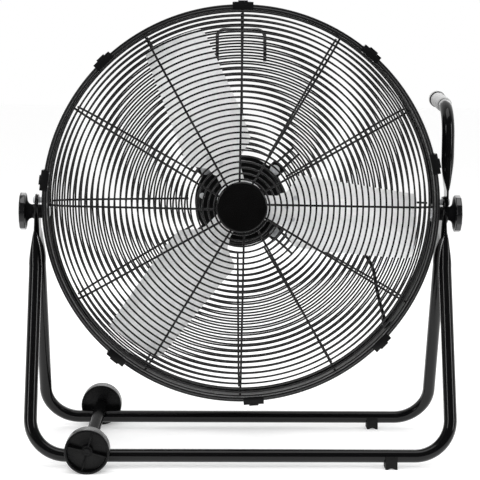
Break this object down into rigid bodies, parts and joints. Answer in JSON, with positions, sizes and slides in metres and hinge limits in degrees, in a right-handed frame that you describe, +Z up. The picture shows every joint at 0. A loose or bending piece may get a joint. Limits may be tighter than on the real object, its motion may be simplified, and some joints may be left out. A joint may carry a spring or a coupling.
{
  "type": "drum fan",
  "caption": "Drum fan on a floor stand: a wide guarded drum with sheet metal blades that tilts between two tube frames, with transport wheels and a carrying handle.",
  "frame": {"origin": "on the floor, under the middle of the stand", "axes": "+X to the right seen from the front, +Y to the back, +Z up; the air blows towards -Y"},
  "size_m": [0.762, 0.4, 0.776],
  "materials": {
    "tube_black": "gloss",
    "drum_black": "satin",
    "guard_wire": "satin",
    "motor_black": "satin",
    "moulded_black": "matt",
    "rubber_black": "matt",
    "grip_grey": "matt",
    "zinc": "zinc plated",
    "steel": "machined",
    "blade_aluminium": "rolled sheet",
    "copper": "enamelled wire",
    "lead_black": "matt"
  },
  "bodies": {
    "stand": {"front_u_tube": "tube_black", "rear_u_tube": "tube_black", "axle_tube": "tube_black", "axle": "steel", "axle_bushes": "moulded_black", "wheel_washers": "zinc", "wheel_retainers": "moulded_black", "front_foot": "rubber_black", "rear_foot": "rubber_black", "handle_tube": "tube_black", "handle_grip": "grip_grey", "leg_bolts": "zinc", "leg_nuts": "zinc", "left_pivot_washer": "drum_black"},
    "front_wheel": {"front_wheel": "moulded_black"},
    "rear_wheel": {"rear_wheel": "moulded_black"},
    "left_knob": {"left_knob": "moulded_black", "left_knob_nut": "zinc"},
    "right_knob": {"right_knob": "moulded_black", "right_knob_nut": "zinc"},
    "head": {"drum_shell": "drum_black", "pivot_plates": "drum_black", "pivot_bolts": "zinc", "pivot_spacers": "drum_black", "front_guard": "guard_wire", "rear_guard": "guard_wire", "hub_plate": "guard_wire", "hub_cap": "moulded_black", "hub_screws": "zinc", "guard_clips": "drum_black", "clip_screws": "zinc", "motor_front_shell": "motor_black", "motor_rear_shell": "motor_black", "motor_mount_plate": "drum_black", "motor_bolts": "zinc", "motor_nuts": "zinc", "mount_screws": "zinc", "mount_washers": "zinc", "mount_nuts": "zinc", "support_wires": "guard_wire", "stator_core": "steel", "stator_windings": "copper", "front_bearing": "steel", "rear_bearing": "steel", "switch_box": "moulded_black", "motor_lead": "lead_black", "motor_gland": "moulded_black", "wall_gland": "moulded_black", "wire_loop": "guard_wire"},
    "fan": {"motor_shaft": "steel", "rotor_core": "steel", "blade_spider": "steel", "blade_1": "blade_aluminium", "blade_2": "blade_aluminium", "blade_3": "blade_aluminium", "blade_rivets": "zinc", "hub_nut": "zinc"},
    "switch_knob": {"switch_knob": "moulded_black", "switch_shaft": "zinc"}
  },
  "joints": [
    {"name": "head_tilt", "type": "hinge", "parent": "stand", "child": "head", "pos_m": [0, 0, 0.414], "axis": [1, 0, 0], "range_deg": [-90, 90]},
    {"name": "fan_spin", "type": "hinge", "parent": "head", "child": "fan", "pos_m": [0, 0, 0.429], "axis": [0, -1, 0], "continuous": true},
    {"name": "front_wheel_spin", "type": "hinge", "parent": "stand", "child": "front_wheel", "pos_m": [-0.253, -0.185, 0.037], "axis": [0, 1, 0], "continuous": true},
    {"name": "rear_wheel_spin", "type": "hinge", "parent": "stand", "child": "rear_wheel", "pos_m": [-0.253, 0.185, 0.037], "axis": [0, 1, 0], "continuous": true},
    {"name": "left_knob_turn", "type": "hinge", "parent": "stand", "child": "left_knob", "pos_m": [-0.37, 0, 0.414], "axis": [-1, 0, 0], "continuous": true},
    {"name": "right_knob_turn", "type": "hinge", "parent": "stand", "child": "right_knob", "pos_m": [0.37, 0, 0.414], "axis": [1, 0, 0], "continuous": true},
    {"name": "switch_turn", "type": "hinge", "parent": "head", "child": "switch_knob", "pos_m": [0, 0.14, 0.429], "axis": [0, 1, 0], "range_deg": [0, 135]}
  ]
}
